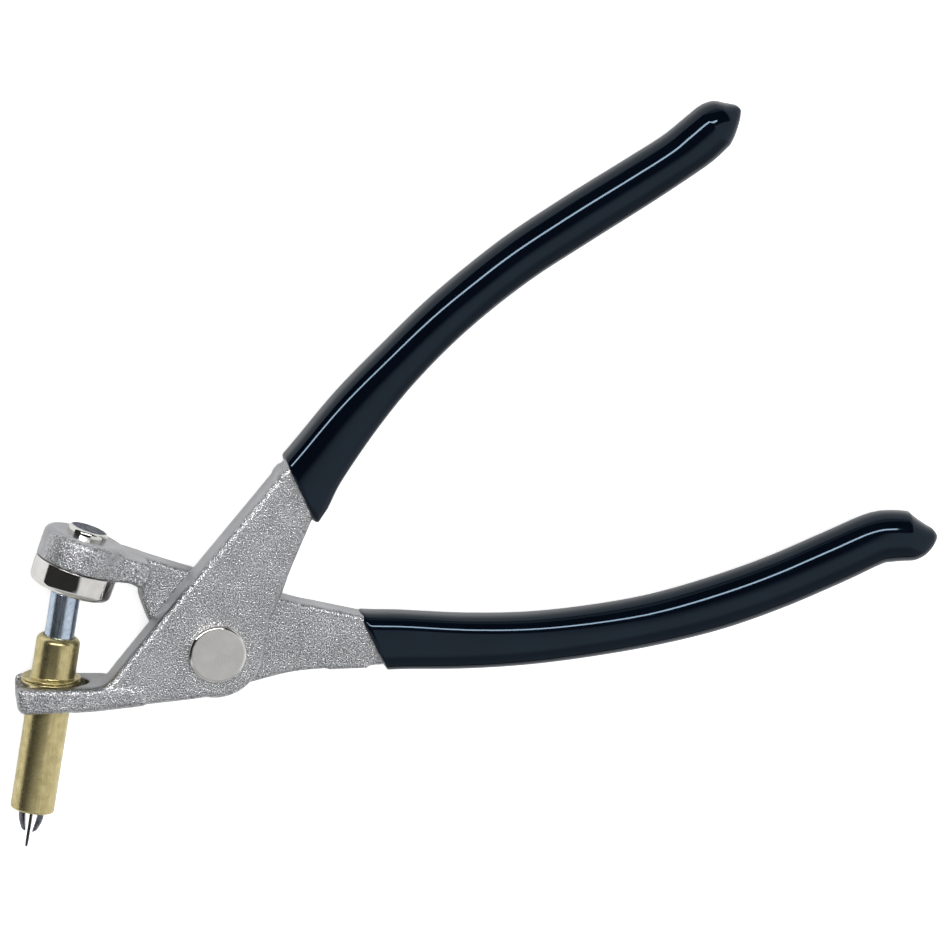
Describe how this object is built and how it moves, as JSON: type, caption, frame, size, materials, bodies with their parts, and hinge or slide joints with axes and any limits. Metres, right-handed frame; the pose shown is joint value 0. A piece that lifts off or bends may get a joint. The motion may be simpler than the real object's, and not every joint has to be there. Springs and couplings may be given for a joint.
{
  "type": "skin-pin pliers with fastener",
  "caption": "Lap-jointed pliers with vinyl grips, a forked jaw and a round pusher disc, holding one spring-loaded skin-pin fastener upright in the fork.",
  "frame": {"origin": "on the hinge axis, at the outer flat face of the hinge rivet's lower head, which the pliers rest on when they lie on their side", "axes": "+Z along the hinge axis, up through both levers; +X from the jaws towards the handles, in the middle plane; +Y from the forked jaw towards the pusher jaw"},
  "size_m": [0.1707, 0.1333, 0.0153],
  "materials": {
    "forged_steel": "nickel plate over a grain-blasted forging, sparkling faces and smoother edges",
    "polished_nickel": "polished nickel plate",
    "satin_rivet": "satin face with a polished round rim",
    "vinyl_grip": "glossy dipped vinyl, near-black navy",
    "satin_brass": "satin yellow zinc or brass plate with fine drawing marks",
    "zinc_plate": "bluish zinc plate",
    "dark_spring_steel": "dark blued spring steel",
    "spring_wire": "plain drawn spring wire"
  },
  "bodies": {
    "fork_body": {"fork_lever": "forged_steel", "fork_lever_grip": "vinyl_grip", "pivot_rivet": "satin_rivet"},
    "pusher_body": {"pusher_lever": "forged_steel", "pusher_lever_grip": "vinyl_grip", "pusher_disc": "polished_nickel", "disc_rivet": "polished_nickel"},
    "barrel_body": {"fastener_barrel": "satin_brass", "end_bushing": "zinc_plate", "spreader_bar": "dark_spring_steel", "plunger_spring": "spring_wire"},
    "plunger_body": {"plunger": "zinc_plate"},
    "left_leg_body": {"left_leg": "dark_spring_steel"},
    "right_leg_body": {"right_leg": "dark_spring_steel"}
  },
  "joints": [
    {"name": "plier_hinge", "type": "hinge", "parent": "fork_body", "child": "pusher_body", "pos_m": [0, 0, 0.0077], "axis": [0, 0, 1], "range_deg": [0, 16]},
    {"name": "fastener_slide", "type": "slide", "parent": "fork_body", "child": "barrel_body", "axis": [-0.9989, 0.0471, 0], "range_m": [0, 0.02]},
    {"name": "plunger_press", "type": "slide", "parent": "barrel_body", "child": "plunger_body", "axis": [-0.1582, -0.9874, 0], "range_m": [0, 0.0078], "stiffness_N_per_m": 20, "springref_m": -0.003, "deforming": ["plunger_spring"]},
    {"name": "left_leg_pinch", "type": "hinge", "parent": "plunger_body", "child": "left_leg_body", "pos_m": [-0.02852, -0.00193, 0.0077], "axis": [-0.2137, 0.0342, 0.9763], "range_deg": [0, 1]},
    {"name": "right_leg_pinch", "type": "hinge", "parent": "plunger_body", "child": "right_leg_body", "pos_m": [-0.02852, -0.00193, 0.0077], "axis": [-0.2137, 0.0342, 0.9763], "range_deg": [-1, 0]}
  ],
  "couplings": [
    {"joint": "plunger_press", "follows": "plier_hinge", "m_per_rad": 0.027574},
    {"joint": "left_leg_pinch", "follows": "plier_hinge", "ratio": 0.05625},
    {"joint": "right_leg_pinch", "follows": "plier_hinge", "ratio": -0.05625}
  ]
}
